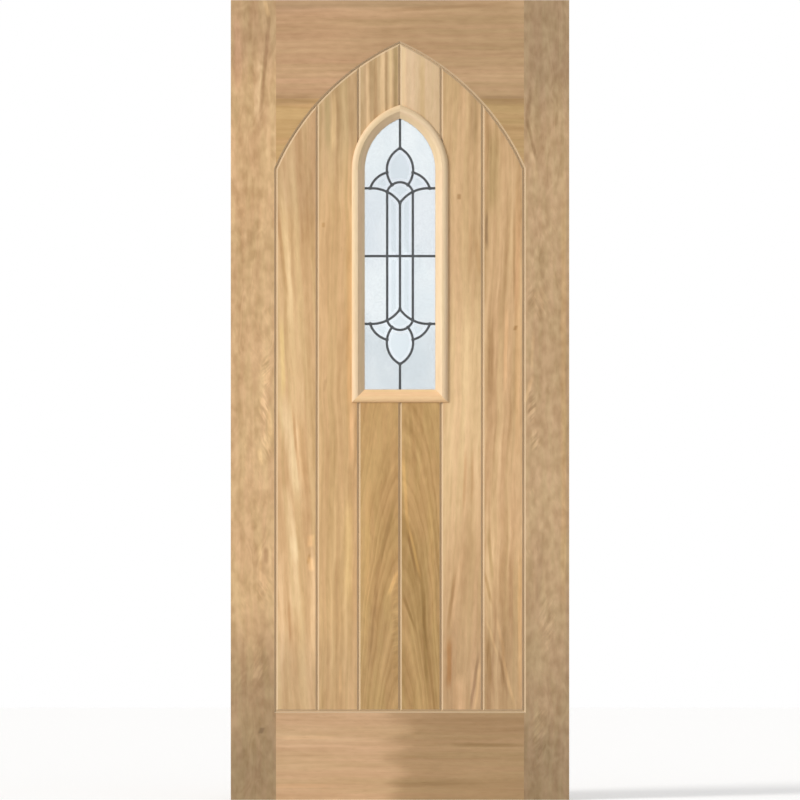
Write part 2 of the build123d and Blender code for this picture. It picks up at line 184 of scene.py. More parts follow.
def makeOakGrain(figure):
    # Growth rings round a heart line, cut by the board's faces, with streaks, rays, pores and drift of tone.
    # Position runs across the board in X, through it in Y and along its grain in Z.
    tree, given, result = newGroup("oakGrain", {
        "Position": None,
        "Pale Colour": tint(226, 190, 142),
        "Deep Colour": tint(186, 146, 98),
        "Heart Across": 0.0,
        "Heart Depth": 0.1,
        "Lean": 0.0,
        "Slant": 0.0,
        "Wander": 0.02,
        "Waver": 0.008,
        "Broad Bands": 0.5,
        "Fine Lines": 0.5,
        "Streaks": 0.5,
        "Streak Width": 0.012,
        "Mottle": 0.2,
        "Mottle Width": 0.006,
        "Mottle Length": 0.016,
        "Fine Grain": 0.1,
        "Hue Drift": 0.5,
        "Hue Length": 0.3,
        "Curl": 0.0,
        "Curl Size": 0.02,
        "Flecks": 0.3,
        "Fleck Slant": 0.3,
        "Seed": 0.0,
    }, {"Colour": "Color", "Height": "Float", "Roughness": "Float"})
    seeds = join(tree, given["Seed"], given["Seed"], given["Seed"])
    spot = vector(tree, "ADD", given["Position"], seeds)
    parts = split(tree, given["Position"])

    # Distance from the heart line, which wanders
    driftPlace = vector(tree, "MULTIPLY", spot, figure["driftStretch"])
    drift = put(tree, "TexNoise", {"Vector": driftPlace, "Scale": 1.0, "Detail": 2.0}).outputs["Color"]
    drifts = split(tree, drift)
    waver = calc(tree, "SUBTRACT", noise(tree, spot, figure["waverStretch"], 1), 0.5)
    slide = calc(tree, "MULTIPLY_ADD", calc(tree, "SUBTRACT", drifts[0], 0.5), given["Wander"], parts[0])
    slide = calc(tree, "MULTIPLY_ADD", waver, given["Waver"], slide)
    heart = calc(tree, "MULTIPLY_ADD", given["Slant"], parts[2], given["Heart Across"])
    slide = calc(tree, "SUBTRACT", slide, heart)
    sink = calc(tree, "MULTIPLY_ADD", calc(tree, "SUBTRACT", drifts[1], 0.5), given["Wander"], parts[1])
    heart = calc(tree, "MULTIPLY_ADD", given["Lean"], parts[2], given["Heart Depth"])
    sink = calc(tree, "SUBTRACT", sink, heart)
    squares = calc(tree, "MULTIPLY_ADD", slide, slide, calc(tree, "MULTIPLY", sink, sink))
    ripple = centred(tree, noise(tree, spot, figure["rippleStretch"], 3))
    ripple = calc(tree, "MULTIPLY", ripple, figure["rippleDepth"])
    radius = calc(tree, "ADD", calc(tree, "SQRT", squares), ripple)
    radius = calc(tree, "ADD", radius, given["Seed"])

    # Bands and lines follow the rings; streaks and mottling follow the grain
    fibre = vector(tree, "ADD", join(tree, slide, sink, parts[2]), seeds)
    across = calc(tree, "DIVIDE", figure["fleckSize"], given["Streak Width"])
    along = calc(tree, "DIVIDE", across, figure["streakAspect"])
    streaks = centred(tree, noise(tree, fibre, join(tree, across, across, along), 2, 0.55))
    fine = centred(tree, noise(tree, fibre, figure["fineStretch"], 3, 0.6))
    broad = centred(tree, lineNoise(tree, radius, figure["bandScale"], 2))
    lines = centred(tree, lineNoise(tree, radius, figure["lineScale"], 2))
    cloud = centred(tree, noise(tree, spot, figure["cloudStretch"], 2))
    across = calc(tree, "DIVIDE", figure["fleckSize"], given["Mottle Width"])
    along = calc(tree, "DIVIDE", figure["fleckSize"], given["Mottle Length"])
    mottle = centred(tree, noise(tree, fibre, join(tree, across, across, along), 1, 0.4))
    tone = calc(tree, "MULTIPLY_ADD", broad, given["Broad Bands"], 0.5)
    lineShare = calc(tree, "MULTIPLY", given["Fine Lines"], figure["lineShare"])
    tone = calc(tree, "MULTIPLY_ADD", lines, lineShare, tone)
    tone = calc(tree, "MULTIPLY_ADD", streaks, given["Streaks"], tone)
    tone = calc(tree, "MULTIPLY_ADD", mottle, given["Mottle"], tone)
    tone = calc(tree, "MULTIPLY_ADD", fine, given["Fine Grain"], tone)
    tone = calc(tree, "MULTIPLY_ADD", cloud, figure["cloudShare"], tone)

    # Curls: soft nested figure, in patches, where the rays lie in the face
    across = calc(tree, "DIVIDE", 0.5, given["Curl Size"])
    along = calc(tree, "MULTIPLY", across, figure["curlAspect"])
    curlPlace = vector(tree, "MULTIPLY", fibre, join(tree, across, across, along))
    curlField = {"Vector": curlPlace, "Scale": 1.0, "Detail": 2.0, "Distortion": 0.35}
    curls = lineNoise(tree, put(tree, "TexNoise", curlField).outputs[0], figure["curlScale"], 1)
    where = remap(tree, noise(tree, spot, figure["curlPatchStretch"], 1), 0.38, 0.6)
    curls = calc(tree, "MULTIPLY", centred(tree, curls), calc(tree, "MULTIPLY", where, given["Curl"]))
    tone = calc(tree, "ADD", tone, curls)
    colour = mix(tree, remap(tree, tone, 0.0, 1.0, smooth=False), given["Deep Colour"], given["Pale Colour"])

    # Hue: some streaks are pinker, others greener
    along = calc(tree, "DIVIDE", 0.5, given["Hue Length"])
    hueStretch = join(tree, figure["hueScale"], figure["hueScale"], along)
    hue = noise(tree, vector(tree, "ADD", fibre, (3, 5, 7)), hueStretch, 2)
    swing = mix(tree, remap(tree, hue, 0.34, 0.66), figure["greener"], figure["pinker"])
    colour = mix(tree, given["Hue Drift"], colour, swing, "MULTIPLY")

    # Rays: short pale flecks that cross the grain at a slant
    turned = calc(tree, "SUBTRACT", parts[2], calc(tree, "MULTIPLY", parts[0], given["Fleck Slant"]))
    leaned = calc(tree, "MULTIPLY_ADD", parts[2], given["Fleck Slant"], parts[0])
    rayPlace = vector(tree, "ADD", join(tree, leaned, parts[1], turned), seeds)
    rays = remap(tree, noise(tree, rayPlace, figure["rayStretch"], 2, 0.6), 0.5, 0.7)
    patches = remap(tree, noise(tree, spot, figure["rayPatchStretch"], 1), 0.42, 0.62)
    rays = calc(tree, "MULTIPLY", calc(tree, "MULTIPLY", rays, patches), given["Flecks"])
    colour = mix(tree, rays, colour, figure["ray"], "MULTIPLY")

    # Pores: fine dark dashes along the grain
    pores = remap(tree, noise(tree, spot, figure["poreStretch"], 1), 0.6, 0.75)
    colour = mix(tree, calc(tree, "MULTIPLY", pores, figure["poreShare"]), colour, figure["pore"], "MULTIPLY")

    height = calc(tree, "MULTIPLY_ADD", pores, -1.0, calc(tree, "MULTIPLY", fine, figure["fineRelief"]))
    rough = calc(tree, "MULTIPLY_ADD", pores, figure["poreRoughness"], figure["roughness"])
    rough = calc(tree, "MULTIPLY_ADD", fine, figure["fineRoughness"], rough)
    tree.links.new(colour, result["Colour"])
    tree.links.new(height, result["Height"])
    tree.links.new(rough, result["Roughness"])
    return tree


markShape = {
    "seedSpread": 37,
    "swayScale": 9,  # sways per metre
    "raggedStretch": (240, 240, 9),
    "ragged": 0.6,
    "sideFade": (0.3, 1.4),  # shares of the half width between which the mark fades
    "endFade": (0.4, 1.0),
}


def makeGrainAndShadowMark(shape):
    # One soft streak, patch or knot of the grain, or a line of painted shadow: a mask that is strongest on a
    # line along the grain
    tree, given, result = newGroup("grainAndShadowMark", {
        "Position": None,
        "Across": 0.0,
        "Along": 0.0,
        "Half Width": 0.01,
        "Half Length": 0.1,
        "Slant": 0.0,
        "Wobble": 0.005,
        "Strength": 1.0,
    }, {"Mask": "Float"})
    parts = split(tree, given["Position"])
    far = calc(tree, "SUBTRACT", parts[2], given["Along"])
    seed = calc(tree, "MULTIPLY_ADD", given["Across"], shape["seedSpread"], parts[2])
    sway = calc(tree, "SUBTRACT", lineNoise(tree, seed, shape["swayScale"], 3), 0.5)
    middle = calc(tree, "MULTIPLY_ADD", far, given["Slant"], given["Across"])
    side = calc(tree, "MULTIPLY_ADD", sway, given["Wobble"], calc(tree, "SUBTRACT", parts[0], middle))
    sideways = calc(tree, "DIVIDE", calc(tree, "ABSOLUTE", side), given["Half Width"])
    lengthways = calc(tree, "DIVIDE", calc(tree, "ABSOLUTE", far), given["Half Length"])
    rag = calc(tree, "SUBTRACT", noise(tree, given["Position"], shape["raggedStretch"], 2), 0.5)
    sideways = calc(tree, "MULTIPLY_ADD", rag, shape["ragged"], sideways)
    sideMask = remap(tree, sideways, *shape["sideFade"], 1.0, 0.0)
    endMask = remap(tree, lengthways, *shape["endFade"], 1.0, 0.0)
    mask = calc(tree, "MULTIPLY", sideMask, endMask)
    tree.links.new(calc(tree, "MULTIPLY", mask, given["Strength"]), result["Mask"])
    return tree


fleckShape = {
    "stretch": (0.5, 20, 0.5),  # in ray widths and lengths, but per metre through the board
    "edgeFade": (0.3, 1.1),
    "pale": (0.5, 0.64),
    "dark": (0.5, 0.36),
}


def makeFleckPatch(shape):
    # A patch of slanting rays; each ray leans across by Slant for each step along the grain
    tree, given, result = newGroup("fleckPatch", {
        "Position": None,
        "Across": 0.0,
        "Along": 0.0,
        "Half Width": 0.02,
        "Half Length": 0.1,
        "Slant": 0.5,
        "Ray Width": 0.004,
        "Ray Length": 0.02,
        "Strength": 1.0,
    }, {"Pale": "Float", "Dark": "Float"})
    parts = split(tree, given["Position"])
    side = calc(tree, "DIVIDE", calc(tree, "SUBTRACT", parts[0], given["Across"]), given["Half Width"])
    far = calc(tree, "DIVIDE", calc(tree, "SUBTRACT", parts[2], given["Along"]), given["Half Length"])
    reach = calc(tree, "MULTIPLY_ADD", side, side, calc(tree, "MULTIPLY", far, far))
    patch = remap(tree, calc(tree, "SQRT", reach), *shape["edgeFade"], 1.0, 0.0)
    patch = calc(tree, "MULTIPLY", patch, given["Strength"])
    leaned = calc(tree, "SUBTRACT", parts[0], calc(tree, "MULTIPLY", parts[2], given["Slant"]))
    turned = calc(tree, "MULTIPLY_ADD", parts[0], given["Slant"], parts[2])
    size = calc(tree, "SQRT", calc(tree, "MULTIPLY_ADD", given["Slant"], given["Slant"], 1.0))
    leaned = calc(tree, "DIVIDE", leaned, calc(tree, "MULTIPLY", size, given["Ray Width"]))
    turned = calc(tree, "DIVIDE", turned, calc(tree, "MULTIPLY", size, given["Ray Length"]))
    rays = noise(tree, join(tree, leaned, parts[1], turned), shape["stretch"], 1)
    for label, band in (("Pale", shape["pale"]), ("Dark", shape["dark"])):
        tree.links.new(calc(tree, "MULTIPLY", remap(tree, rays, *band), patch), result[label])
    return tree


oakGrain = makeOakGrain(oakFigure)
grainAndShadowMark = makeGrainAndShadowMark(markShape)
fleckPatch = makeFleckPatch(fleckShape)
print("shared effects made")


# Oak

turnLength = 0.24  # how far the grain counts as running on for each radian round a curved moulding
fadeShape = {"raggedStretch": (28, 28, 5), "ragged": 70 * mm, "softness": 0.6}  # its ends waver along the grain
fleckTones = {"Pale": (1.22, 1.24, 1.26, 1), "Dark": (0.84, 0.82, 0.78, 1)}
oakRelief = {"Strength": 0.25, "Distance": 0.4 * mm}
grooveLook = {
    "colour": (212, 190, 158),
    "share": 0.7,
    "steep": (0.5, 0.62),  # below this share of the normal to the front or back, a face is an edge
    "flat": (0.8, 0.92),  # and above this share it is the front or back itself
}


def grainPosition(tree, run):
    # Object position turned so that Z is along the grain: up, level, or round the arch of a moulding
    position = put(tree, "TexCoord").outputs["Object"]
    if run == "up":
        return position
    parts = split(tree, position)
    if run == "level":
        return join(tree, parts[2], parts[1], parts[0])
    side, centreX, spring = run
    outX = calc(tree, "MULTIPLY_ADD", parts[0], side, centreX)
    outZ = calc(tree, "SUBTRACT", parts[2], spring)
    squares = calc(tree, "MULTIPLY_ADD", outX, outX, calc(tree, "MULTIPLY", outZ, outZ))
    turn = calc(tree, "MULTIPLY", calc(tree, "ARCTAN2", outZ, outX), turnLength)
    return join(tree, calc(tree, "SQRT", squares), parts[1], turn)


def addFadesAndFalloff(tree, position, colour, fades):
    # Slow changes of tone along the grain, partly the material's own drift and partly painted light falloff:
    # centre, half length (mm), tone, and softness of its ends
    along = split(tree, position)[2]
    ragged = centred(tree, noise(tree, position, fadeShape["raggedStretch"], 2))
    along = calc(tree, "MULTIPLY_ADD", ragged, fadeShape["ragged"], along)
    for fade in fades:
        centre, halfLength, tone = fade[:3]
        softness = fade[3] if len(fade) > 3 else fadeShape["softness"]
        far = calc(tree, "ABSOLUTE", calc(tree, "SUBTRACT", along, centre * mm))
        mask = remap(tree, far, (1 - softness) * halfLength * mm, halfLength * mm, 1.0, 0.0)
        colour = mix(tree, mask, colour, tone + (1,), "MULTIPLY")
    return colour


def addMarks(tree, position, colour, marks):
    # Each mark: across, along, half width, half length (mm), slant, strength, tone
    for across, along, halfWidth, halfLength, slant, strength, tone in marks:
        mask = place(grainAndShadowMark, tree, {
            "Position": position,
            "Across": across * mm,
            "Along": along * mm,
            "Half Width": halfWidth * mm,
            "Half Length": halfLength * mm,
            "Slant": slant,
            "Strength": strength,
        })["Mask"]
        colour = mix(tree, mask, colour, tone + (1,), "MULTIPLY")
    return colour


def addFlecks(tree, position, colour, patches):
    # Each patch: across, along, half width, half length (mm), slant, strength
    for across, along, halfWidth, halfLength, slant, strength in patches:
        rays = place(fleckPatch, tree, {
            "Position": position,
            "Across": across * mm,
            "Along": along * mm,
            "Half Width": halfWidth * mm,
            "Half Length": halfLength * mm,
            "Slant": slant,
            "Strength": strength,
        })
        for label, tone in fleckTones.items():
            colour = mix(tree, rays[label], colour, tone, "MULTIPLY")
    return colour


def paleGroove(tree, colour):
    # The sloping walls of the vee joints are mixed towards a paler, greyer colour
    facing = split(tree, put(tree, "NewGeometry").outputs["True Normal"])[1]
    facing = calc(tree, "ABSOLUTE", facing)
    steep = remap(tree, facing, *grooveLook["steep"])
    mask = calc(tree, "MULTIPLY", steep, remap(tree, facing, *grooveLook["flat"], 1.0, 0.0))
    return mix(tree, calc(tree, "MULTIPLY", mask, grooveLook["share"]), colour, tint(*grooveLook["colour"]))


def oakMaterial(name, look, run="up", grooves=False):
    # A look gives colours, the heart's place (mm), the strength and size (mm) of each figure, and its marks
    material, tree, shader = newMaterial(name)
    position = grainPosition(tree, run)
    heartAcross, heartDepth = look["heart"]
    grain = place(oakGrain, tree, {
        "Position": position,
        "Pale Colour": tint(*look["pale"]),
        "Deep Colour": tint(*look["deep"]),
        "Heart Across": heartAcross * mm,
        "Heart Depth": heartDepth * mm,
        "Lean": look.get("lean", 0.0),
        "Slant": look.get("slant", 0.0),
        "Wander": 20 * mm,
        "Waver": look.get("waver", 14) * mm,
        "Broad Bands": look.get("bands", 0.3),
        "Fine Lines": look.get("lines", 0.3),
        "Streaks": look.get("streaks", 0.5),
        "Streak Width": look.get("streakWidth", 12) * mm,
        "Mottle": look.get("mottle", 0.25),
        "Mottle Width": look.get("mottleWidth", 7) * mm,
        "Mottle Length": look.get("mottleLength", 24) * mm,
        "Fine Grain": look.get("fine", 0.06),
        "Hue Drift": 0.5,
        "Hue Length": look.get("hueLength", 300) * mm,
        "Curl": look.get("curl", 0.0),
        "Curl Size": look.get("curlSize", 20) * mm,
        "Flecks": look.get("flecks", 0.2),
        "Fleck Slant": look.get("fleckSlant", 0.3),
        "Seed": look["seed"],
    })
    colour = addFadesAndFalloff(tree, position, grain["Colour"], look.get("fades", []))
    colour = addMarks(tree, position, colour, look.get("marks", []))
    colour = addFlecks(tree, position, colour, look.get("patches", []))
    if grooves:
        colour = paleGroove(tree, colour)
    bump = put(tree, "Bump", {"Height": grain["Height"], **oakRelief}).outputs[0]
    tree.links.new(colour, shader.inputs["Base Color"])
    tree.links.new(grain["Roughness"], shader.inputs["Roughness"])
    tree.links.new(bump, shader.inputs["Normal"])
    setPlain(shader, {"Specular IOR Level": 0.3})
    return material


# Places are in mm in the leaf's own frame, first across and then along the grain. What isn't named here keeps
# oakMaterial's own value.
# The fades of the stiles, rails and boards are partly painted light falloff: darker tops and bottoms, brighter
# middles and a darker right-hand side.
frameLooks = {
    "left_stile": {
        "pale": (226, 190, 144), "deep": (190, 153, 109), "heart": (-300, 170), "seed": 1.3,
        "flecks": 0.35, "fleckSlant": 0.5, "bands": 0.2, "curl": 0.35, "curlSize": 34, "mottle": 0.6,
        "mottleWidth": 10, "mottleLength": 18, "streaks": 0.3, "streakWidth": 16, "fine": 0.03,
        "hueLength": 60,
        "fades": [
            (1981, 230, (0.83, 0.82, 0.84)),
            (1560, 170, (1.07, 1.07, 1.08)),
            (0, 560, (0.65, 0.67, 0.7)),
            (0, 240, (0.85, 0.87, 0.88)),
        ],
        "marks": [
            (-403, 1857, 12, 150, 0, 0.7, (1.08, 0.99, 1.06)),
            (-335, 1814, 5.5, 170, 0.085, 1, (0.75, 0.69, 0.66)),
            (-350, 1767, 8, 110, 0.09, 0.9, (1.18, 1.24, 1.31)),
            (-326, 1617, 7, 70, 0.03, 0.9, (1.16, 1.18, 1.22)),
            (-330, 1960, 5.5, 26, -0.25, 0.9, (1.25, 1.25, 1.22)),
            (-344, 1431, 5.5, 60, 0.05, 0.8, (1.13, 1.14, 1.16)),
            (-371, 1394, 11, 34, 0, 0.7, (0.89, 0.87, 0.84)),
            (-322, 930, 7, 50, -0.1, 0.9, (1.25, 1.27, 1.25)),
            (-346, 850, 7, 26, -0.15, 0.9, (1.22, 1.24, 1.24)),
            (-332, 604, 7, 26, 0.05, 1, (0.75, 0.69, 0.66)),
            (-347, 590, 4, 60, 0.02, 0.9, (1.16, 1.18, 1.18)),
            (-322, 590, 4, 50, -0.03, 0.8, (1.13, 1.14, 1.16)),
            (-343, 172, 7, 10, 0.3, 1, (0.69, 0.66, 0.66)),
        ],
        "patches": [
            (-331, 1060, 14, 48, 0.9, 1.3),
            (-337, 975, 16, 60, -0.55, 1.1),
            (-330, 880, 16, 50, -0.4, 0.9),
            (-335, 520, 30, 60, -0.7, 0.6),
            (-350, 330, 30, 90, 0.6, 0.5),
        ]},
    "right_stile": {
        "pale": (208, 177, 138), "deep": (174, 142, 104), "heart": (300, 170), "seed": 4.1,
        "flecks": 0.35, "fleckSlant": 0.5, "bands": 0.2, "curl": 0.3, "curlSize": 34, "mottle": 0.6,
        "mottleWidth": 10, "mottleLength": 18, "streaks": 0.3, "streakWidth": 15, "fine": 0.03,
        "hueLength": 60,
        "fades": [
            (1981, 360, (0.8, 0.81, 0.83)),
            (0, 720, (0.77, 0.78, 0.79), 0.8),
            (0, 250, (0.83, 0.84, 0.84)),
        ],
        "marks": [
            (325, 1640, 4.5, 70, -0.25, 1, (0.75, 0.72, 0.66)),
            (317, 1700, 5.5, 80, 0.1, 0.9, (0.84, 0.82, 0.78)),
            (332, 1570, 5.5, 50, -0.2, 0.9, (1.18, 1.2, 1.22)),
            (352, 1330, 8, 60, -0.05, 0.8, (0.84, 0.82, 0.78)),
            (316, 1010, 5.5, 50, 0.3, 1, (1.25, 1.25, 1.22)),
            (328, 1110, 4, 60, 0.05, 0.9, (1.18, 1.18, 1.16)),
            (406, 1000, 8, 700, 0, 0.8, (1.11, 1.08, 0.96)),
            (414, 900, 4, 900, 0, 1, (0.84, 0.84, 0.87)),
            (345, 560, 8, 120, 0.03, 0.8, (0.84, 0.82, 0.8)),
        ],
        "patches": [
            (326, 975, 13, 50, 0.9, 1.4),
            (336, 890, 16, 40, 0.8, 0.9),
            (326, 1240, 14, 40, 0.8, 0.8),
            (348, 1230, 22, 60, -0.5, 0.7),
            (365, 440, 28, 100, 0.6, 0.6),
            (345, 170, 24, 110, 0.8, 0.6),
        ]},
}
railLooks = {
    "head_rail": {
        "pale": (208, 172, 132), "deep": (176, 142, 103), "heart": (1880, 200), "seed": 7.7,
        "flecks": 0.15, "lines": 0.25, "bands": 0.2, "streaks": 0.5, "streakWidth": 9, "waver": 8,
        "fades": [
            (-330, 330, (1.09, 1.06, 1.09)),
            (330, 330, (0.96, 0.97, 0.97)),
        ],
        "marks": [
            (1976, -120, 20, 380, 0.03, 1, (0.8, 0.8, 0.8)),
            (1963, 110, 5.5, 190, 0.053, 1, (0.86, 0.83, 0.79)),
            (1796, -290, 4, 70, 0.04, 0.9, (0.9, 0.87, 0.86)),
            # The next two marks are painted shadow along the flush joint with the spandrels
            (1741, -280, 7, 90, 0.03, 1, (0.83, 0.8, 0.75)),
            (1738, 260, 7, 90, -0.02, 1, (0.8, 0.79, 0.75)),
        ]},
    "left_spandrel": {
        "pale": (217, 179, 127), "deep": (191, 152, 101), "heart": (1600, 160), "seed": 9.2,
        "flecks": 0.1, "streaks": 0.7, "streakWidth": 8,
        # Its mark is painted shadow along the flush joint with the head rail
        "marks": [(1732, -280, 12, 100, 0.05, 1, (0.75, 0.74, 0.74))]},
    "right_spandrel": {
        "pale": (203, 169, 121), "deep": (175, 142, 95), "heart": (1600, 160), "seed": 12.9,
        "flecks": 0.1, "streaks": 0.7, "streakWidth": 8,
        # Its mark is painted shadow along the flush joint with the head rail
        "marks": [(1733, 260, 11, 100, -0.02, 1, (0.78, 0.75, 0.74))]},
    "bottom_rail": {
        "pale": (214, 179, 141), "deep": (190, 155, 116), "heart": (-120, 300), "seed": 15.4,
        "flecks": 0.15, "lines": 0.3, "bands": 0.25, "streaks": 0.6, "streakWidth": 8, "waver": 8,
        "fades": [
            (330, 375, (0.78, 0.77, 0.71), 0.22),
            (330, 420, (0.86, 0.86, 0.83), 0.5),
        ],
        "marks": [
            (136, 215, 5.5, 110, 0, 0.9, (0.77, 0.74, 0.66)),
            (40, 60, 7, 120, 0.03, 0.7, (0.84, 0.81, 0.77)),
            (155, -230, 5.5, 90, 0, 0.8, (1.16, 1.16, 1.16)),
            (35, -250, 5.5, 90, 0.02, 0.8, (1.16, 1.16, 1.16)),
        ]},
}
